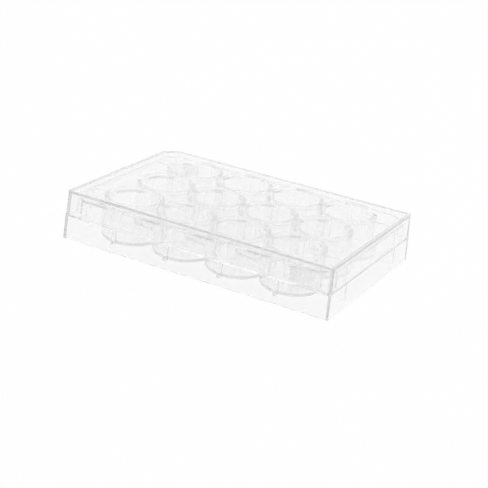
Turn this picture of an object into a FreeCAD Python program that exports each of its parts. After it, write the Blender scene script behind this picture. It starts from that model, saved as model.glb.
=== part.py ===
"""Clear two-piece bobbin box: a moulded tray of round wells under a lift-off lid.

The tray stands on the lower edge of its skirt. Its top is a thin deck that carries the wells:
their rims stand a little above the deck and their cups hang below it, each running into the
next, with thin webs that tie the outer ones to the walls. A ledge runs round the outside of the
tray, half way up, and the lid's skirt stands on that ledge, flush with the tray.

Frame: origin on the table under the middle of the tray, +X along the long side, +Z up.
"""
import FreeCAD, Part
import os
import re

import Sketcher

SIZES = {
    # the outside of the closed box
    "box_length": 127.8,
    "box_width": 85.5,
    "box_height": 22.0,
    "draft_angle": 1.84,
    # tray skirt and ledge
    "ledge_height": 11.3,
    "skirt_wall": 1.3,
    "ledge_thickness": 1.2,
    "skirt_corner_radius": 0.6,
    # tray body above the ledge
    "body_wall": 1.2,
    "deck_thickness": 1.3,
    "rim_rise": 1.2,
    # wells: the floor's height is that of its underside above the table
    "well_pitch": 26.0,
    "well_bore_radius": 11.1,
    "well_wall": 2.1,
    "well_floor_height": 2.6,
    "well_floor_thickness": 1.4,
    "cup_foot_chamfer": 2.0,
    # webs that tie the outer wells to the walls
    "web_thickness": 1.2,
    "web_foot_height": 3.0,
    # lid
    "lid_wall": 1.6,
    "lid_top_thickness": 1.6,
    "lid_clearance": 0.3,
    "rim_clearance": 0.5,
    "lid_corner_cut": 6.0,
    "lid_corner_radius": 1.2,
    "lid_edge_radius": 0.5,
}

# what follows from the driving sizes
DERIVED = {
    "half_length": "=box_length / 2",
    "half_width": "=box_width / 2",
    "ledge_inset": "=ledge_height * tan(draft_angle * 1 deg)",
    "ledge_underside": "=ledge_height - ledge_thickness",
    "body_inset": "=ledge_inset + lid_wall + lid_clearance",
    "rim_height": "=box_height - lid_top_thickness - rim_clearance",
    "deck_height": "=rim_height - rim_rise",
    "deck_underside": "=deck_height - deck_thickness",
    "cup_radius": "=well_bore_radius + well_wall",
    "bore_floor": "=well_floor_height + well_floor_thickness",
    # as many wells each way as the body takes just under the deck, where it is narrowest
    "body_top_inset": "=body_inset + (deck_height - ledge_height) * tan(draft_angle * 1 deg)",
    "cup_overlap": "=2 * cup_radius - well_pitch",
    "well_columns": "=floor((box_length - 2 * body_top_inset - cup_overlap) / well_pitch)",
    "well_rows": "=floor((box_width - 2 * body_top_inset - cup_overlap) / well_pitch)",
    # a 45 degree corner that is moved in by a wall keeps its wall if its cut shrinks by this share
    "corner_share": "=2 - sqrt(2)",
    "lid_inner_cut": "=lid_corner_cut - lid_wall * corner_share",
    "body_cut": "=lid_corner_cut - (lid_wall + lid_clearance) * corner_share",
    "body_inner_cut": "=body_cut - body_wall * corner_share",
}

CORNERS = ((1, 1), (-1, 1), (-1, -1), (1, -1))
LID_CUT_CORNERS = ((-1, 1),)
CUTS = ("PartDesign::Pocket", "PartDesign::Groove")


def make_sheet(doc):
    """Put the driving sizes and what follows from them into one spreadsheet."""
    sheet = doc.addObject("Spreadsheet::Sheet", "Sizes")
    for row, (name, value) in enumerate({**SIZES, **DERIVED}.items(), start=1):
        sheet.set(f"A{row}", name)
        sheet.set(f"B{row}", str(value))
        sheet.setAlias(f"B{row}", name)
    doc.recompute()
    return sheet


def size(text):
    """Point the names in an expression at the spreadsheet."""
    return re.sub(r"[a-z_]{2,}", lambda found: f"Sizes.{found.group()}", text)


def origin_part(body, role):
    return next(item for item in body.Origin.OriginFeatures if item.Role == role)


def new_sketch(body, name, plane, offset):
    """Start a sketch on one of the body's own planes, moved along its normal."""
    sketch = body.newObject("Sketcher::SketchObject", name)
    sketch.AttachmentSupport = [(origin_part(body, plane), "")]
    sketch.MapMode = "FlatFace"
    sketch.setExpression("AttachmentOffset.Base.z", size(offset))
    return sketch


def pin_point(sketch, geometry, end, sign_x, x_text, sign_y, y_text):
    """Hold a point of the sketch at a signed distance from the sketch's origin each way."""
    for kind, sign, text in (("DistanceX", sign_x, x_text), ("DistanceY", sign_y, y_text)):
        ends = (-1, 1, geometry, end) if sign > 0 else (geometry, end, -1, 1)
        index = sketch.addConstraint(Sketcher.Constraint(kind, *ends, 1.0))
        sketch.setExpression(f"Constraints[{index}]", size(text))


def draw_outline(sketch, points):
    """Draw a closed outline through corner points (sign x, x, sign y, y), each held by its sizes."""
    seeds = [FreeCAD.Vector(sx * (2 + i), sy * (2 + i), 0) for i, (sx, _, sy, _) in enumerate(points)]
    for i, seed in enumerate(seeds):
        sketch.addGeometry(Part.LineSegment(seed, seeds[(i + 1) % len(seeds)]))
    for i, point in enumerate(points):
        sketch.addConstraint(Sketcher.Constraint("Coincident", (i - 1) % len(points), 2, i, 1))
        pin_point(sketch, i, 1, *point)


def rectangle(half_x, half_y, cut="", cut_corners=()):
    """Corner points of a rectangle, counter-clockwise, with the named corners cut at 45 degrees."""
    points = []
    for sx, sy in CORNERS:
        corner = [(sx, half_x, sy, half_y)]
        if (sx, sy) in cut_corners:
            corner = [(sx, half_x, sy, f"{half_y} - {cut}"), (sx, f"{half_x} - {cut}", sy, half_y)]
        points += corner if sx * sy > 0 else corner[::-1]
    return points


def add_feature(body, kind, name, sketch, length, taper=None, reverse=False):
    """Pad or pocket a sketch by a length, with a draft angle where the piece leaves its mould."""
    feature = body.newObject(f"PartDesign::{kind}", name)
    feature.Profile = sketch
    feature.setExpression("Length", size(length))
    feature.Reversed = reverse
    if taper:
        feature.setExpression("TaperAngle", size(taper))
    return feature


def add_drafted_block(doc, body, name, sketch, height):
    """Pad a sketch upwards, then draft its sides inwards from its foot as flat faces."""
    block = add_feature(body, "Pad", f"{name}Block", sketch, height)
    doc.recompute()
    faces = enumerate(block.Shape.Faces, start=1)
    rise = {f"Face{number}": round(face.normalAt(0, 0).z) for number, face in faces}
    draft = body.newObject("PartDesign::Draft", f"{name}Draft")
    draft.Base = (block, [face for face in rise if rise[face] == 0])
    draft.NeutralPlane = (block, [face for face in rise if rise[face] == -1])
    draft.setExpression("Angle", size("draft_angle"))
    doc.recompute()
    return draft


def round_edges(body, name, feature, edges, radius):
    fillet = body.newObject("PartDesign::Fillet", name)
    fillet.Base = (feature, edges)
    fillet.setExpression("Radius", size(radius))
    return fillet


def upright_edges(feature):
    """Names of the edges that stand at a drafted block's corners."""
    names = []
    for number, edge in enumerate(feature.Shape.Edges, start=1):
        box = edge.BoundBox
        if box.ZLength > max(box.XLength, box.YLength):
            names.append(f"Edge{number}")
    return names


def top_edges(feature):
    """Names of the edges round a block's top face."""
    top = max(feature.Shape.Faces, key=lambda face: face.CenterOfMass.z)
    return [f"Edge{number}" for number, edge in enumerate(feature.Shape.Edges, start=1)
            if any(edge.isSame(own) for own in top.Edges)]


def add_hollow_block(doc, body):
    """The tray without its wells: skirt, ledge, walls above the ledge, and deck, open below."""
    foot = new_sketch(body, "SkirtOutline", "XY_Plane", "0")
    draw_outline(foot, rectangle("half_length", "half_width"))
    skirt = add_drafted_block(doc, body, "Skirt", foot, "ledge_height")
    round_edges(body, "SkirtCorners", skirt, upright_edges(skirt), "skirt_corner_radius")

    shoulder = new_sketch(body, "BodyOutline", "XY_Plane", "ledge_height")
    draw_outline(shoulder, rectangle("half_length - body_inset", "half_width - body_inset",
                                     "body_cut", CORNERS))
    add_feature(body, "Pad", "BodyBlock", shoulder, "deck_height - ledge_height", "-draft_angle")

    below = new_sketch(body, "SkirtHollowOutline", "XY_Plane", "0")
    draw_outline(below, rectangle("half_length - skirt_wall", "half_width - skirt_wall"))
    add_feature(body, "Pocket", "SkirtHollow", below, "ledge_underside", "-draft_angle", reverse=True)

    inside = new_sketch(body, "BodyHollowOutline", "XY_Plane", "ledge_underside")
    draw_outline(inside, rectangle("half_length - body_inset - body_wall",
                                   "half_width - body_inset - body_wall", "body_inner_cut", CORNERS))
    add_feature(body, "Pocket", "BodyHollow", inside, "deck_underside - ledge_underside",
                "-draft_angle", reverse=True)


def web_profile(half_span):
    """Side view of a web from wall to wall: it reaches the skirt below the ledge, the body above."""
    in_skirt = f"{half_span} - (skirt_wall + ledge_inset) / 2"
    in_body = f"{half_span} - body_inset - body_wall / 2"
    in_ledge = "ledge_height - ledge_thickness / 2"
    in_deck = "deck_height - deck_thickness / 2"
    right = [(1, in_skirt, 1, "web_foot_height"), (1, in_skirt, 1, in_ledge),
             (1, in_body, 1, in_ledge), (1, in_body, 1, in_deck)]
    left = [(-1, x, 1, z) for _, x, _, z in right[::-1]]
    return right + left


def add_web(body, name, plane, offset, points):
    """A thin upright plate on one of the body's upright planes, moved along its normal."""
    sketch = new_sketch(body, f"{name}Profile", plane, offset)
    draw_outline(sketch, points)
    add_feature(body, "Pad", name, sketch, "web_thickness").SideType = "Symmetric"


def grid_steps(count):
    """Places of a centred row of wells, counted in pitches from the middle."""
    return [i - (count - 1) / 2 for i in range(count)]


def add_webs(body, sheet):
    """A web through each column of wells, and one through each outer row, from wall to wall."""
    rows = grid_steps(int(sheet.well_rows))
    columns = grid_steps(int(sheet.well_columns))
    for number, step in enumerate(columns, start=1):
        add_web(body, f"ColumnWeb{number}", "YZ_Plane", f"well_pitch * {step}", web_profile("half_width"))
    for number, step in enumerate((rows[0], rows[-1]), start=1):
        add_web(body, f"RowWeb{number}", "XZ_Plane", f"well_pitch * {step}", web_profile("half_length"))


def spin_first_well(body, sheet, kind, name, points):
    """Spin half a section, given as (radius, height), about the axis of the grid's first well."""
    column = grid_steps(int(sheet.well_columns))[0]
    row = grid_steps(int(sheet.well_rows))[0]
    section = new_sketch(body, f"{name}Section", "XZ_Plane", f"well_pitch * {-row}")
    section.setExpression("AttachmentOffset.Base.x", size(f"well_pitch * {column}"))
    draw_outline(section, [(1, radius, 1, height) for radius, height in points])
    feature = body.newObject(f"PartDesign::{kind}", name)
    feature.Profile = section
    feature.ReferenceAxis = (section, ["V_Axis"])
    return feature


def add_wells(doc, body, sheet):
    """The first well is a cup with a chamfered foot, and its bore. The other wells repeat it on a
    square grid, close enough for each cup to run into the next."""
    cup = spin_first_well(body, sheet, "Revolution", "Cup", [
        ("0", "well_floor_height"), ("cup_radius - cup_foot_chamfer", "well_floor_height"),
        ("cup_radius", "well_floor_height + cup_foot_chamfer"), ("cup_radius", "rim_height"),
        ("0", "rim_height")])
    bore = spin_first_well(body, sheet, "Groove", "Bore", [
        ("0", "bore_floor"), ("well_bore_radius", "bore_floor"),
        ("well_bore_radius", "rim_height"), ("0", "rim_height")])

    grid = body.newObject("PartDesign::LinearPattern", "WellGrid")
    grid.Originals = [cup, bore]
    grid.Direction = (origin_part(body, "X_Axis"), [""])
    grid.Direction2 = (origin_part(body, "Y_Axis"), [""])
    grid.setExpression("Occurrences", size("well_columns"))
    grid.setExpression("Occurrences2", size("well_rows"))
    grid.setExpression("Length", size("well_pitch * (well_columns - 1)"))
    grid.setExpression("Length2", size("well_pitch * (well_rows - 1)"))
    doc.recompute()
    body.Tip = grid


def build_tray(doc, sheet):
    body = doc.addObject("PartDesign::Body", "WellTray")
    body.Label = "well_tray"
    add_hollow_block(doc, body)
    add_webs(body, sheet)
    add_wells(doc, body, sheet)
    return body


def build_lid(doc):
    """A shallow drafted cover with one corner cut, its wall of even thickness."""
    body = doc.addObject("PartDesign::Body", "Lid")
    body.Label = "lid"
    seat = new_sketch(body, "LidOutline", "XY_Plane", "ledge_height")
    draw_outline(seat, rectangle("half_length - ledge_inset", "half_width - ledge_inset",
                                 "lid_corner_cut", LID_CUT_CORNERS))
    block = add_drafted_block(doc, body, "Lid", seat, "box_height - ledge_height")
    corners = round_edges(body, "LidCorners", block, upright_edges(block), "lid_corner_radius")
    doc.recompute()
    round_edges(body, "LidTopEdge", corners, top_edges(corners), "lid_edge_radius")

    mouth = new_sketch(body, "LidHollowOutline", "XY_Plane", "ledge_height")
    draw_outline(mouth, rectangle("half_length - ledge_inset - lid_wall",
                                  "half_width - ledge_inset - lid_wall",
                                  "lid_inner_cut", LID_CUT_CORNERS))
    add_feature(body, "Pocket", "LidHollow", mouth, "box_height - lid_top_thickness - ledge_height",
                "-draft_angle", reverse=True)
    return body


def check_document(doc, pieces):
    """Stop on a failed feature, a cut that takes nothing away, or a piece that isn't one sound solid."""
    for item in doc.Objects:
        if {"Invalid", "Error"} & set(item.State):
            raise RuntimeError(f"{item.Name} failed: {item.State}")
        if item.TypeId in CUTS and item.Shape.Volume >= item.BaseFeature.Shape.Volume:
            raise RuntimeError(f"{item.Name} cuts nothing")
    for piece in pieces:
        if piece.Shape.isNull() or not piece.Shape.isValid() or len(piece.Shape.Solids) != 1:
            raise RuntimeError(f"{piece.Label} isn't one sound solid")


def main():
    doc = FreeCAD.newDocument("BobbinBox")
    sheet = make_sheet(doc)
    pieces = [build_tray(doc, sheet), build_lid(doc)]
    doc.recompute()
    check_document(doc, pieces)
    os.makedirs("parts", exist_ok=True)
    for piece in pieces:
        piece.Shape.exportStep(f"parts/{piece.Label}.step")
        print(piece.Label, round(piece.Shape.Volume, 1), "mm3")


main()
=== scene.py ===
# %% [markdown]
# # A clear bobbin box
# The box is two mouldings in clear polystyrene: a tray of twelve round wells that stands on a
# skirt, and a lift-off lid with one cut corner. Clear plastic hides nothing, so every wall, web
# and rim that the light passes through is modelled as a closed solid with its true thickness.

# %% Load the frame
import bpy
import math
from mathutils import Matrix, Vector


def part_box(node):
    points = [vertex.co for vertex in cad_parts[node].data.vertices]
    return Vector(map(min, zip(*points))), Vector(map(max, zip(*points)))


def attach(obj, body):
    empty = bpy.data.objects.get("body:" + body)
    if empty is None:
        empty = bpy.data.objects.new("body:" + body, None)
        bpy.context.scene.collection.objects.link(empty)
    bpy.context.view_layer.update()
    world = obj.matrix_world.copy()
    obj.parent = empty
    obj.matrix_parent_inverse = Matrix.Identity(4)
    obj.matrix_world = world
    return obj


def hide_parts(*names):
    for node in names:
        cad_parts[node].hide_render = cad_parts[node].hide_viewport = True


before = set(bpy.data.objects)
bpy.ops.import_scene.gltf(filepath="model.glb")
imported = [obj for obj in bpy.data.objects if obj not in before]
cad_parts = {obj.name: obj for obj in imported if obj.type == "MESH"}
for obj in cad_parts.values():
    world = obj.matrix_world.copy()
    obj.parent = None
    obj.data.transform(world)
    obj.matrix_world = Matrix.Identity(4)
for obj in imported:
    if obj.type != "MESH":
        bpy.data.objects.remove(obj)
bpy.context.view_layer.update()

# %% [markdown]
# ## Sizes
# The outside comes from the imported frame: the two nodes' boxes give the length, the width, the
# ledge that the lid stands on, the rims and the lid's top. The wall thicknesses are those of the
# mould, in millimetres. The draft, the slope that lets a moulding leave its mould, is how far the
# side has come in between the table and the ledge.

# %% Sizes of the mouldings
MM = 0.001
tray_low, tray_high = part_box("well_tray")
lid_low, lid_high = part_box("lid")
HALF_LENGTH, HALF_WIDTH = tray_high.x, tray_high.y
LEDGE_Z, RIM_Z, TOP_Z = lid_low.z, tray_high.z, lid_high.z
DRAFT = (HALF_LENGTH - lid_high.x) / LEDGE_Z
LID_WALL = 1.6 * MM
LID_PLAY = 0.3 * MM
TRAY_WALL = 1.25 * MM
RIM_RISE = 1.2 * MM
DECK_Z = RIM_Z - RIM_RISE
SEAT_GAP = 0.04 * MM
print("draft:", round(math.degrees(math.atan(DRAFT)), 2), "degrees")
print("deck at", round(DECK_Z / MM, 2), "mm")

# %% [markdown]
# ## Picking faces and edges in code
# By hand a face is clicked. Here a small test on its place does the same: the selection is set in
# object mode, and edit mode then takes it over. Everything is deselected before a new piece is
# added, because an operator acts on all that is selected. Places that the script sets are the same
# within SAME, and places that an operator has worked out are the same within NEAR.

# %% Helpers for picking
SAME = 0.01 * MM
NEAR = 0.05 * MM
FACING = 0.5


def pick_faces(piece, test):
    """Go to edit mode with the faces selected whose centre and normal pass the test."""
    bpy.ops.object.mode_set(mode="EDIT")
    bpy.ops.mesh.select_mode(type="FACE")
    bpy.ops.mesh.select_all(action="DESELECT")
    bpy.ops.object.mode_set(mode="OBJECT")
    for face in piece.data.polygons:
        face.select = test(face.center, face.normal)
    bpy.ops.object.mode_set(mode="EDIT")


def pick_edges(piece, test):
    """Go to edit mode with the edges selected whose two ends pass the test."""
    bpy.ops.object.mode_set(mode="EDIT")
    bpy.ops.mesh.select_mode(type="EDGE")
    bpy.ops.mesh.select_all(action="DESELECT")
    bpy.ops.object.mode_set(mode="OBJECT")
    points = piece.data.vertices
    for edge in piece.data.edges:
        edge.select = test(*(points[i].co for i in edge.vertices))
    bpy.ops.object.mode_set(mode="EDIT")


def faces_up(centre, normal):
    """Whether a face looks up."""
    return normal.z > FACING


def faces_down(centre, normal):
    """Whether a face looks down."""
    return normal.z < -FACING


def is_level(a, b):
    """Whether an edge lies level."""
    return abs(a.z - b.z) < NEAR


print("tolerances:", SAME / MM, NEAR / MM, "mm")

# %% [markdown]
# ## Steps that both mouldings share
# Each moulding starts as a box, is narrowed towards its top by the draft, and is then hollowed from
# below: the face there is deleted, and Solidify gives the open skin an even wall, inwards, so that
# the outside keeps its size. Solidify cuts the foot of the wall square to its slope, so the foot is
# flattened to stand on the table or the ledge.

# %% Helpers for modelling
def add_block(name, half_x, half_y, bottom, top):
    """A box primitive at its size and place, with its place in its mesh."""
    bpy.ops.object.select_all(action="DESELECT")
    bpy.ops.mesh.primitive_cube_add(size=1, location=(0, 0, (bottom + top) / 2),
                                    scale=(2 * half_x, 2 * half_y, top - bottom))
    bpy.ops.object.transform_apply(location=True, rotation=True, scale=True)
    bpy.context.object.name = name
    return bpy.context.object


def select_only(piece):
    """Select the piece alone, and make it the active one."""
    bpy.ops.object.select_all(action="DESELECT")
    piece.select_set(True)
    bpy.context.view_layer.objects.active = piece


def apply_modifier(piece, kind, **settings):
    """Add one modifier to the piece with its settings, and apply it."""
    modifier = piece.modifiers.new(kind.title(), kind)
    for name, value in settings.items():
        setattr(modifier, name, value)
    bpy.context.view_layer.objects.active = piece
    bpy.ops.object.modifier_apply(modifier=modifier.name)


def narrow_top(half_x, half_y, rise):
    """Bring the selected top face in by the draft over its rise."""
    inset = DRAFT * rise
    bpy.ops.transform.resize(value=((half_x - inset) / half_x, (half_y - inset) / half_y, 1))


def hollow(piece, wall, foot):
    """Open the piece below, give its skin a wall inwards, and flatten its foot."""
    pick_faces(piece, faces_down)
    bpy.ops.mesh.delete(type="ONLY_FACE")
    bpy.ops.object.mode_set(mode="OBJECT")
    apply_modifier(piece, "SOLIDIFY", thickness=wall, offset=-1, use_even_offset=True)
    pick_faces(piece, lambda centre, normal: faces_down(centre, normal) and centre.z < foot + wall)
    bpy.ops.transform.resize(value=(1, 1, 0), center_override=(0, 0, foot))
    bpy.ops.object.mode_set(mode="OBJECT")


print("helpers ready")

# %% [markdown]
# ## The lid as a sharp shell
# The lid is a shallow tray turned over. One upright edge is cut flat at 45 degrees, the mark that
# shows which way round the lid goes on. A bevel of one segment makes that cut, before the box is
# hollowed, so that the wall follows it. A hair of air is left under the lid's foot, because two
# clear solids that share a face would look like one.

# %% Lid shell
LID_CUT = 6.0 * MM
lid_bottom = LEDGE_Z + SEAT_GAP
lid = add_block("clear_lid", lid_high.x, lid_high.y, lid_bottom, TOP_Z)
pick_faces(lid, faces_up)
narrow_top(lid_high.x, lid_high.y, TOP_Z - lid_bottom)
pick_edges(lid, lambda a, b: not is_level(a, b) and a.x < 0 < a.y)
bpy.ops.mesh.bevel(offset=LID_CUT, segments=1, affect="EDGES")
hollow(lid, LID_WALL, lid_bottom)
print("lid shell:", len(lid.data.polygons), "faces")

# %% [markdown]
# ## Rounding the lid's edges
# Clear plastic shows its edges as lines, so the radius of each edge is what the eye sees. Each
# kind of edge gets a bevel weight, its share of the widest radius, and one Bevel modifier rounds
# them all. Harden Normals keeps the flat faces flat, or they would bend the light like lenses.

# %% Helpers for rounding
def weigh_edges(piece, radius, widest, test):
    """Add to the bevel weight of the edges that pass the test, for a radius."""
    pick_edges(piece, test)
    bpy.ops.transform.edge_bevelweight(value=radius / widest)
    bpy.ops.object.mode_set(mode="OBJECT")


def round_edges(piece, widest, segments):
    """Round the weighed edges, with the flat faces kept flat."""
    select_only(piece)
    bpy.ops.object.shade_smooth()
    apply_modifier(piece, "BEVEL", width=widest, segments=segments, limit_method="WEIGHT",
                   offset_type="OFFSET", harden_normals=True, use_clamp_overlap=True)


def lid_side(height):
    """Half length and half width of the lid's outside at a height."""
    inset = DRAFT * (height - lid_bottom)
    return lid_high.x - inset, lid_high.y - inset


def on_lid_outside(point):
    """Whether a point lies on the lid's outside and not on the inner side of its wall."""
    half_x, half_y = lid_side(point.z)
    corner_reach = half_x + half_y - abs(point.x) - abs(point.y)
    reach = min(half_x - abs(point.x), half_y - abs(point.y), corner_reach)
    return reach < LID_WALL / 3


print("lid's half length and width at its top:", [round(half / MM, 2) for half in lid_side(TOP_Z)])

# %% Lid edges
LID_CORNER = 1.2 * MM
LID_RADII = {"outer corner": LID_CORNER, "inner corner": 0.5 * MM, "top edge": 0.3 * MM,
             "ceiling edge": 0.5 * MM, "foot edge": 0.03 * MM}
LID_SEGMENTS = 12
ceiling_z = TOP_Z - LID_WALL
weigh_edges(lid, LID_RADII["outer corner"], LID_CORNER,
            lambda a, b: not is_level(a, b) and on_lid_outside(a))
weigh_edges(lid, LID_RADII["inner corner"], LID_CORNER,
            lambda a, b: not is_level(a, b) and not on_lid_outside(a))
weigh_edges(lid, LID_RADII["top edge"], LID_CORNER,
            lambda a, b: min(a.z, b.z) > TOP_Z - LID_WALL / 2)
weigh_edges(lid, LID_RADII["ceiling edge"], LID_CORNER,
            lambda a, b: is_level(a, b) and abs(a.z - ceiling_z) < LID_WALL / 2)
weigh_edges(lid, LID_RADII["foot edge"], LID_CORNER,
            lambda a, b: max(a.z, b.z) < lid_bottom + LID_WALL / 2
            and on_lid_outside(a) == on_lid_outside(b))
round_edges(lid, LID_CORNER, LID_SEGMENTS)
print("lid:", len(lid.data.polygons), "faces")

# %% [markdown]
# ## The tray's shell
# The tray is a box with a step: the skirt below, the ledge for the lid, and above it the body,
# which is narrower by the lid's wall and has its four corners cut. The step is an inset and an
# extrude of the top face.

# %% Skirt, ledge and body
LEDGE_DEPTH = LID_WALL + LID_PLAY
body_x = HALF_LENGTH - DRAFT * LEDGE_Z - LEDGE_DEPTH
body_y = HALF_WIDTH - DRAFT * LEDGE_Z - LEDGE_DEPTH
tray = add_block("clear_tray", HALF_LENGTH, HALF_WIDTH, tray_low.z, LEDGE_Z)
pick_faces(tray, faces_up)
narrow_top(HALF_LENGTH, HALF_WIDTH, LEDGE_Z)
bpy.ops.mesh.inset(thickness=LEDGE_DEPTH)
bpy.ops.mesh.extrude_region_move(TRANSFORM_OT_translate={"value": (0, 0, DECK_Z - LEDGE_Z)})
narrow_top(body_x, body_y, DECK_Z - LEDGE_Z)
bpy.ops.object.mode_set(mode="OBJECT")
print("body's half length and width:", round(body_x / MM, 2), round(body_y / MM, 2), "mm")

# %% [markdown]
# ## The body's cut corners
# A bevel of one segment cuts each upright edge of the body. At the foot of a cut, Blender also
# slides a point out along the ledge, almost to its corner, and the short edges there would keep
# every later rounding tiny. So the edge across the foot is dissolved, and the slid point is put
# back in the middle of the foot.

# %% Tray shell
BODY_CUT = 4.9 * MM


def is_cut_foot(a, b):
    """Whether an edge is where a cut corner of the body meets the ledge."""
    on_ledge = abs(a.z - LEDGE_Z) < SAME and is_level(a, b)
    is_short = (a - b).length < 2 * BODY_CUT
    is_diagonal = abs(abs(a.x) + abs(a.y) - abs(b.x) - abs(b.y)) < NEAR
    return on_ledge and is_short and is_diagonal


def is_slid_point(point):
    """Whether the bevel has slid a point out over the ledge, almost to its corner."""
    on_ledge = abs(point.z - LEDGE_Z) < SAME
    off_body = abs(point.x) > body_x + NEAR and abs(point.y) > body_y + NEAR
    at_ledge_corner = abs(point.x) > body_x + LEDGE_DEPTH - SAME
    return on_ledge and off_body and not at_ledge_corner


pick_edges(tray, lambda a, b: not is_level(a, b) and max(a.z, b.z) > LEDGE_Z + TRAY_WALL)
bpy.ops.mesh.bevel(offset=BODY_CUT, segments=1, affect="EDGES")
pick_edges(tray, is_cut_foot)
bpy.ops.mesh.dissolve_edges(use_verts=False)
bpy.ops.object.mode_set(mode="OBJECT")
slid_points = [point for point in tray.data.vertices if is_slid_point(point.co)]
for point in slid_points:
    point.co.x = math.copysign(body_x - BODY_CUT / 2, point.co.x)
    point.co.y = math.copysign(body_y - BODY_CUT / 2, point.co.y)
print("points put back:", len(slid_points))
hollow(tray, TRAY_WALL, tray_low.z)
print("tray shell:", len(tray.data.polygons), "faces")

# %% [markdown]
# ## Rounding the tray's edges
# A moulding has no knife edges: each edge is broken by a small radius, and the skirt's four outer
# corners by a wider one. Only sharp edges are weighed, because an edge inside a flat face has
# nothing to round. The operator adds to a weight, so the skirt's corners then get what they lack.
# Many narrow segments keep the rounding smooth for rays inside the plastic.

# %% Tray shell edges
SKIRT_CORNER = 0.5 * MM
EDGE_RADIUS = 0.05 * MM
SHARP_ANGLE = math.radians(20)
TRAY_SEGMENTS = 10


def is_skirt_corner(a, b):
    """Whether an edge is an upright outer corner of the skirt."""
    from_foot_up = not is_level(a, b) and min(a.z, b.z) < TRAY_WALL
    return from_foot_up and abs(a.x) > HALF_LENGTH - TRAY_WALL / 2


pick_edges(tray, lambda a, b: False)
bpy.ops.mesh.edges_select_sharp(sharpness=SHARP_ANGLE)
bpy.ops.transform.edge_bevelweight(value=EDGE_RADIUS / SKIRT_CORNER)
bpy.ops.object.mode_set(mode="OBJECT")
weigh_edges(tray, SKIRT_CORNER - EDGE_RADIUS, SKIRT_CORNER, is_skirt_corner)
round_edges(tray, SKIRT_CORNER, TRAY_SEGMENTS)
print("tray shell with rounded edges:", len(tray.data.polygons), "faces")

# %% [markdown]
# ## Wells
# One cup is a cylinder with a round foot, which the eye sees as a soft dark arc under the ledge.
# One bore is a slimmer cylinder that later cuts the cup hollow, with a rounded floor edge and a
# small flare that breaks the rim's edge. The flare goes on past the rim, so that the cut leaves no
# skin. Each is modelled once and copied to the other places of the grid, each copy with its own
# mesh.

# %% Cup and bore
BORE_RADIUS = 11.1 * MM
WELL_WALL = 2.1 * MM
FLOOR_UNDER, FLOOR_OVER = 2.6 * MM, 4.0 * MM
CUP_FOOT, CUP_FOOT_SEGMENTS = 2.0 * MM, 10
RIM_ROUND, RIM_SEGMENTS = 0.15 * MM, 3
FLOOR_ROUND, FLOOR_SEGMENTS = 0.6 * MM, 4
RIM_FLARE = 0.25 * MM
ROUND_SIDES = 128


def add_cylinder(name, bottom, top, radius):
    """A cylinder on the frame's middle axis."""
    bpy.ops.object.select_all(action="DESELECT")
    bpy.ops.mesh.primitive_cylinder_add(vertices=ROUND_SIDES, radius=radius, depth=top - bottom,
                                        location=(0, 0, (bottom + top) / 2))
    bpy.ops.object.transform_apply(location=True, rotation=True, scale=True)
    bpy.context.object.name = name
    return bpy.context.object


def bevel_ring(piece, height, radius, segments):
    """Round the ring of edges at one height."""
    pick_edges(piece, lambda a, b: max(abs(a.z - height), abs(b.z - height)) < SAME)
    bpy.ops.mesh.bevel(offset=radius, segments=segments, affect="EDGES")
    bpy.ops.object.mode_set(mode="OBJECT")


cup = add_cylinder("cup", FLOOR_UNDER, RIM_Z, BORE_RADIUS + WELL_WALL)
bevel_ring(cup, FLOOR_UNDER, CUP_FOOT, CUP_FOOT_SEGMENTS)
bevel_ring(cup, RIM_Z, RIM_ROUND, RIM_SEGMENTS)
bore = add_cylinder("bore", FLOOR_OVER, RIM_Z - RIM_FLARE, BORE_RADIUS)
bevel_ring(bore, FLOOR_OVER, FLOOR_ROUND, FLOOR_SEGMENTS)
pick_faces(bore, faces_up)
flare = 1 + 2 * RIM_FLARE / BORE_RADIUS
bpy.ops.mesh.extrude_region_move(TRANSFORM_OT_translate={"value": (0, 0, 2 * RIM_FLARE)})
bpy.ops.transform.resize(value=(flare, flare, 1))
bpy.ops.object.mode_set(mode="OBJECT")
print("cup and bore:", len(cup.data.polygons), len(bore.data.polygons), "faces")

# %% Copies on the grid
PITCH, COLUMNS, ROWS = 26.0 * MM, 4, 3


def grid_place(index, count):
    """How far a row or a column lies from the middle of the grid."""
    return (index - (count - 1) / 2) * PITCH


def copies_on_grid(piece, keep):
    """Copy the piece to the grid places that pass the test, joined as one object."""
    places = [(grid_place(column, COLUMNS), grid_place(row, ROWS))
              for row in range(ROWS) for column in range(COLUMNS) if keep(row, column)]
    bpy.ops.object.select_all(action="DESELECT")
    for x, y in places:
        copy = piece.copy()
        copy.data = piece.data.copy()
        copy.data.transform(Matrix.Translation((x, y, 0)))
        bpy.context.collection.objects.link(copy)
        copy.select_set(True)
        bpy.context.view_layer.objects.active = copy
    bpy.ops.object.join()
    return bpy.context.object


cups_even = copies_on_grid(cup, lambda row, column: (row + column) % 2 == 0)
cups_odd = copies_on_grid(cup, lambda row, column: (row + column) % 2 == 1)
bores = copies_on_grid(bore, lambda row, column: True)
print("cups:", len(cups_even.data.polygons) + len(cups_odd.data.polygons), "faces")

# %% [markdown]
# ## Webs
# Thin upright webs tie the outer cups to the walls, one behind each column of wells and one
# through each outer row. A web is a plate with a step in its end, because it reaches further out
# under the ledge than above it, and its lower edge is rounded. It runs from wall to wall: the cups
# swallow its middle, and the bores cut it away.

# %% Webs
WEB = 1.2 * MM
WEB_FOOT = 3.0 * MM
WEB_ROUND, WEB_SEGMENTS = 0.5 * MM, 4
ledge_under = LEDGE_Z - TRAY_WALL / 2
deck_under = DECK_Z - TRAY_WALL / 2


def is_web_foot(a, b, outward):
    """Whether an edge is one of the two long ones under the web."""
    is_long_way = abs((b - a).normalized().dot(outward)) > FACING
    return is_long_way and max(a.z, b.z) < WEB_FOOT + SAME


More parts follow.
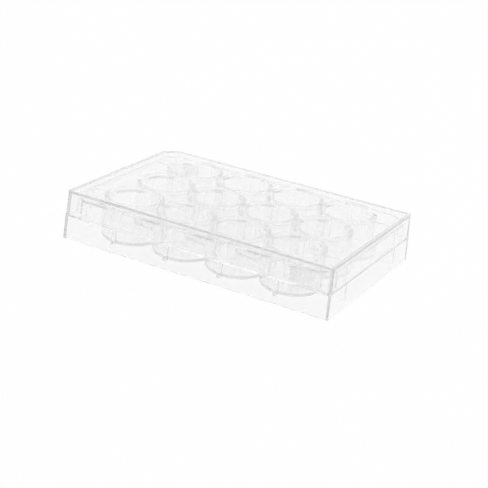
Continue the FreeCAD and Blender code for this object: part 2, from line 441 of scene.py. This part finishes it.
def add_web(half_span, body_half, across, along_x):
    """A stepped plate from wall to wall, at its distance across from the middle."""
    half_skirt = half_span - TRAY_WALL / 2 - DRAFT * LEDGE_Z
    half_body = body_half - TRAY_WALL / 2 - DRAFT * (DECK_Z - LEDGE_Z)
    outward = Vector((1, 0, 0)) if along_x else Vector((0, 1, 0))
    half_x, half_y = (half_body, WEB / 2) if along_x else (WEB / 2, half_body)
    web = add_block("web", half_x, half_y, WEB_FOOT, deck_under)
    pick_faces(web, lambda centre, normal: True)
    bpy.ops.mesh.bisect(plane_co=(0, 0, ledge_under), plane_no=(0, 0, 1))
    for side in (outward, -outward):
        step = side * (half_skirt - half_body)
        pick_faces(web, lambda centre, normal: normal.dot(side) > FACING and centre.z < ledge_under)
        bpy.ops.mesh.extrude_region_move(TRANSFORM_OT_translate={"value": step})
    pick_edges(web, lambda a, b: is_web_foot(a, b, outward))
    bpy.ops.mesh.bevel(offset=WEB_ROUND, segments=WEB_SEGMENTS, affect="EDGES")
    bpy.ops.object.mode_set(mode="OBJECT")
    web.data.transform(Matrix.Translation((0, across, 0) if along_x else (across, 0, 0)))
    return web


column_webs = [add_web(HALF_WIDTH, body_y, grid_place(column, COLUMNS), False)
               for column in range(COLUMNS)]
row_webs = [add_web(HALF_LENGTH, body_x, grid_place(row, ROWS), True) for row in (0, ROWS - 1)]
print("webs:", len(column_webs) + len(row_webs))

# %% [markdown]
# ## One moulding
# The tray is one moulding, so its pieces are fused by Boolean modifiers: first the webs and the
# cups are added, and then the bores are cut. Cups that touch go in on two turns, like the black
# and the white squares of a chess board, so that no operand overlaps itself.

# %% Fuse the tray
SMOOTH_ANGLE = math.radians(32)


def fuse(piece, operand, operation):
    """Join the operand to the piece or cut it away, and remove the operand."""
    apply_modifier(piece, "BOOLEAN", object=operand, operation=operation, solver="MANIFOLD")
    bpy.data.objects.remove(operand)


for added in (*column_webs, *row_webs, cups_even, cups_odd):
    fuse(tray, added, "UNION")
fuse(tray, bores, "DIFFERENCE")
for pattern_piece in (cup, bore):
    bpy.data.objects.remove(pattern_piece)
select_only(tray)
bpy.ops.object.shade_smooth_by_angle(angle=SMOOTH_ANGLE)
apply_modifier(tray, "WEIGHTED_NORMAL", keep_sharp=True)
print("tray:", len(tray.data.polygons), "faces")

# %% [markdown]
# ## Clear polystyrene
# The material is general-purpose polystyrene, moulded in a polished mould: colourless and clear
# as glass, with a high index of refraction. Light that runs a long way inside a wall loses two
# shares: the plastic swallows one, which turns walls seen edge-on grey, and its faint inner haze
# scatters the other, which keeps light caught in a wall from going black. The mould's polish is
# never perfect: slow waves a few millimetres long, and fine scuffs from handling.

# %% Material helpers
def linear(hex_colour):
    """An sRGB hex colour as linear RGBA."""
    parts = [int(hex_colour[i:i + 2], 16) / 255 for i in (1, 3, 5)]
    return [c / 12.92 if c <= 0.04045 else ((c + 0.055) / 1.055) ** 2.4 for c in parts] + [1.0]


def add_node(tree, kind, inputs=(), **settings):
    """Add a node, set its properties and named inputs, and link or set the inputs listed."""
    node = tree.nodes.new(kind)
    for name, value in settings.items():
        if hasattr(node, name):
            setattr(node, name, value)
        else:
            node.inputs[name.replace("_", " ")].default_value = value
    for socket, source in inputs:
        if isinstance(source, bpy.types.NodeSocket):
            tree.links.new(source, node.inputs[socket])
        else:
            node.inputs[socket].default_value = source
    return node


def new_material(name):
    """A material with an empty node tree."""
    material = bpy.data.materials.new(name)
    material.use_nodes = True
    material.node_tree.nodes.clear()
    return material, material.node_tree


WHITE, BLACK = linear("#FFFFFF"), linear("#000000")
print("white in linear light:", WHITE)

# %% Clear polystyrene
POLYSTYRENE_IOR = 1.59
WAVE_LENGTH = 9.0 * MM
WAVE_DEPTH = 0.004 * MM
SCUFF_GRAIN = 0.7 * MM
SCUFF_DULLING = 0.03
SCUFF_START, SCUFF_FULL = 0.45, 0.75


def clear_polystyrene(name, polish, swallowed, scattered):
    """Clear moulding with faint waves and scuffs, and light lost per metre inside it."""
    material, tree = new_material(name)
    place = add_node(tree, "ShaderNodeTexCoord")
    waves = add_node(tree, "ShaderNodeTexNoise", [("Vector", place.outputs["Object"])],
                     Scale=1 / WAVE_LENGTH, Detail=1.0)
    bump = add_node(tree, "ShaderNodeBump", [("Height", waves.outputs["Fac"])],
                    Strength=1.0, Distance=WAVE_DEPTH)
    scuffs = add_node(tree, "ShaderNodeTexNoise", [("Vector", place.outputs["Object"])],
                      Scale=1 / SCUFF_GRAIN, Detail=3.0)
    gloss = add_node(tree, "ShaderNodeMapRange", [("Value", scuffs.outputs["Fac"])],
                     From_Min=SCUFF_START, From_Max=SCUFF_FULL,
                     To_Min=polish, To_Max=polish + SCUFF_DULLING)
    plastic = add_node(tree, "ShaderNodeBsdfPrincipled",
                       [("Normal", bump.outputs["Normal"]), ("Roughness", gloss.outputs["Result"])],
                       Base_Color=WHITE, IOR=POLYSTYRENE_IOR, Transmission_Weight=1.0)
    dimming = add_node(tree, "ShaderNodeVolumeAbsorption", Color=BLACK, Density=swallowed)
    haze = add_node(tree, "ShaderNodeVolumeScatter", Color=WHITE, Density=scattered)
    inside = add_node(tree, "ShaderNodeAddShader", [(0, dimming.outputs[0]), (1, haze.outputs[0])])
    add_node(tree, "ShaderNodeOutputMaterial",
             [("Surface", plastic.outputs["BSDF"]), ("Volume", inside.outputs[0])])
    return material


# The tray gives the eye thin grey lines at its rims and grey bands where the cups run together.
tray.data.materials.clear()
tray.data.materials.append(clear_polystyrene("tray_clear_polystyrene_moulded", polish=0.03,
                                             swallowed=5.0, scattered=23.0))
# The lid is the better polished of the two: it gives the eye a pale sheet with soft grey edges.
lid.data.materials.clear()
lid.data.materials.append(clear_polystyrene("lid_clear_polystyrene_moulded", polish=0.02,
                                            swallowed=3.0, scattered=15.0))
print("materials:", [piece.data.materials[0].name for piece in (tray, lid)])

# %% [markdown]
# ## Joining the frame
# Each moulding stands for its CAD node and moves with that node's body, so the lid lifts off in
# every pose while the tray stays.

# %% Ride on the bodies
for piece, node, body, slot in ((tray, "well_tray", "tray", "tray_polystyrene"),
                                (lid, "lid", "lid", "lid_polystyrene")):
    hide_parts(node)
    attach(piece, body)
print("pieces:", tray.name, lid.name)

# %% [markdown]
# ## Studio floor
# Clear plastic is seen by what shows through it. The floor is a white sheet, a hair below the
# tray's foot. The camera sees it almost evenly white. Rays that pass through the plastic or mirror
# in it see a mix of that white and the sheet's true shading, so the floor under the box is a little
# darker than the floor behind it, and the rear wells stand out pale.

# %% Floor
FLOOR_SIZE = 6000 * MM
FLOOR_Z = -SEAT_GAP
bpy.ops.object.select_all(action="DESELECT")
bpy.ops.mesh.primitive_plane_add(size=FLOOR_SIZE, location=(0, 0, FLOOR_Z))
bpy.ops.object.transform_apply(location=True, rotation=True, scale=True)
floor = bpy.context.object
floor.name = "studio_floor"


def studio_paper(name, camera_share, inner_share):
    """Matt white paper, with a share of even white for the camera and for rays through plastic."""
    material, tree = new_material(name)
    path = add_node(tree, "ShaderNodeLightPath")
    paper = add_node(tree, "ShaderNodeBsdfDiffuse", Color=linear("#F2F2F2"))
    white = add_node(tree, "ShaderNodeEmission", Color=WHITE, Strength=1.0)
    through = add_node(tree, "ShaderNodeMath", [(0, path.outputs["Is Glossy Ray"]),
                                                (1, path.outputs["Is Transmission Ray"])],
                       operation="MAXIMUM")
    inner = add_node(tree, "ShaderNodeMath", [(0, through.outputs[0]), (1, inner_share)],
                     operation="MULTIPLY")
    direct = add_node(tree, "ShaderNodeMath",
                      [(0, path.outputs["Is Camera Ray"]), (1, camera_share)],
                      operation="MULTIPLY")
    share = add_node(tree, "ShaderNodeMath", [(0, inner.outputs[0]), (1, direct.outputs[0])],
                     operation="MAXIMUM")
    seen = add_node(tree, "ShaderNodeMixShader", [(0, share.outputs[0]), (1, paper.outputs[0]),
                                                  (2, white.outputs[0])])
    add_node(tree, "ShaderNodeOutputMaterial", [("Surface", seen.outputs[0])])
    return material


# Matt paper gives the eye an even ground, with a faint soft shadow under the box.
floor.data.materials.append(studio_paper("studio_paper", camera_share=0.97, inner_share=0.75))
print("floor:", floor.name)

# %% [markdown]
# ## Light
# The studio is a white tent, bright all round but for its open front, where the camera stands and
# which is darker. Clear plastic needs such a dark place: its edges bend a little of it into view,
# and that draws them. One wide softbox above and behind gives the shadow its direction, and all
# together light a white sheet to about white.

# %% White tent
TENT_LEVEL, FRONT_LEVEL = 1.0, 0.3
FRONT_DIRECTION = (0.405, -0.839, 0.364)
FRONT_REACH, FRONT_CORE = math.radians(53), math.radians(26)
scene = bpy.context.scene
world = bpy.data.worlds.new("studio")
scene.world = world
world.use_nodes = True
tent = world.node_tree
tent.nodes.clear()
sky_path = add_node(tent, "ShaderNodeLightPath")
sky_place = add_node(tent, "ShaderNodeTexCoord")
towards_front = add_node(tent, "ShaderNodeVectorMath",
                         [(0, sky_place.outputs["Generated"]), (1, FRONT_DIRECTION)],
                         operation="DOT_PRODUCT")
brightness = add_node(tent, "ShaderNodeMapRange", [("Value", towards_front.outputs["Value"])],
                      interpolation_type="SMOOTHSTEP",
                      From_Min=math.cos(FRONT_REACH), From_Max=math.cos(FRONT_CORE),
                      To_Min=TENT_LEVEL, To_Max=FRONT_LEVEL)
sky = add_node(tent, "ShaderNodeBackground", [("Strength", brightness.outputs["Result"])],
               Color=WHITE)
backdrop = add_node(tent, "ShaderNodeBackground", Color=WHITE, Strength=1.0)
sky_mix = add_node(tent, "ShaderNodeMixShader", [(0, sky_path.outputs["Is Camera Ray"]),
                                                 (1, sky.outputs[0]), (2, backdrop.outputs[0])])
add_node(tent, "ShaderNodeOutputWorld", [("Surface", sky_mix.outputs[0])])
print("tent and front levels:", TENT_LEVEL, FRONT_LEVEL)

# %% Softbox
SOFTBOX_PLACE = (0, 250 * MM, 700 * MM)
SOFTBOX_SIZE = 900 * MM
SOFTBOX_WATTS = 0.5
bpy.ops.object.light_add(type="AREA", location=SOFTBOX_PLACE)
softbox = bpy.context.object
softbox.name = "softbox"
softbox.data.size = SOFTBOX_SIZE
softbox.data.energy = SOFTBOX_WATTS
softbox.rotation_euler = (-softbox.location).to_track_quat("-Z", "Y").to_euler()
scene.view_settings.view_transform = "Standard"
print("softbox:", softbox.data.energy, "W")

# %% [markdown]
# ## Light paths
# A ray that enters clear plastic is bent, mirrored inside and let out again many times over. With
# few bounces it would be cut off and leave black edges, so the paths are long here, and sharp
# reflections are not blurred. Volume bounces let a ray go on after the inner haze has turned it.

# %% Bounces
PATH_LENGTH = 1024
HAZE_BOUNCES = 64
scene.cycles.max_bounces = PATH_LENGTH
scene.cycles.transmission_bounces = PATH_LENGTH
scene.cycles.glossy_bounces = PATH_LENGTH
scene.cycles.volume_bounces = HAZE_BOUNCES
scene.cycles.blur_glossy = 0.0
print("bounces:", scene.cycles.max_bounces)

# %% [markdown]
# ## Camera
# The camera stands to the right of the front and looks down on the lid. Its place was found by
# fitting the box's corners, whose real sizes are known, to the picture: the angles, the distance,
# a small roll, and how far the box's middle lies off the picture's middle.

# %% Camera
AZIMUTH, ELEVATION, ROLL = (math.radians(angle) for angle in (25.757, 21.347, 6.601))
DISTANCE = 564.84 * MM
OFF_RIGHT, OFF_UP = -1.738 * MM, 8.183 * MM
PIXELS_PER_MM = 2.272
PICTURE_PIXELS = 488
SENSOR_WIDTH = 36
CLIP_START = 10 * MM
back = Vector((math.sin(AZIMUTH) * math.cos(ELEVATION), -math.cos(AZIMUTH) * math.cos(ELEVATION),
               math.sin(ELEVATION)))
sideways = Vector((math.cos(AZIMUTH), math.sin(AZIMUTH), 0))
upright = back.cross(sideways)
right = sideways * math.cos(ROLL) + upright * math.sin(ROLL)
up = upright * math.cos(ROLL) - sideways * math.sin(ROLL)
middle = Vector((0, 0, TOP_Z / 2))
bpy.ops.object.camera_add(location=middle + DISTANCE * back - OFF_RIGHT * right - OFF_UP * up)
camera = bpy.context.object
camera.rotation_euler = Matrix((right, up, back)).transposed().to_euler()
camera.data.sensor_width = SENSOR_WIDTH
camera.data.lens = PIXELS_PER_MM * DISTANCE / MM / PICTURE_PIXELS * SENSOR_WIDTH
camera.data.clip_start = CLIP_START
scene.camera = camera
print("lens:", round(camera.data.lens, 1), "mm")
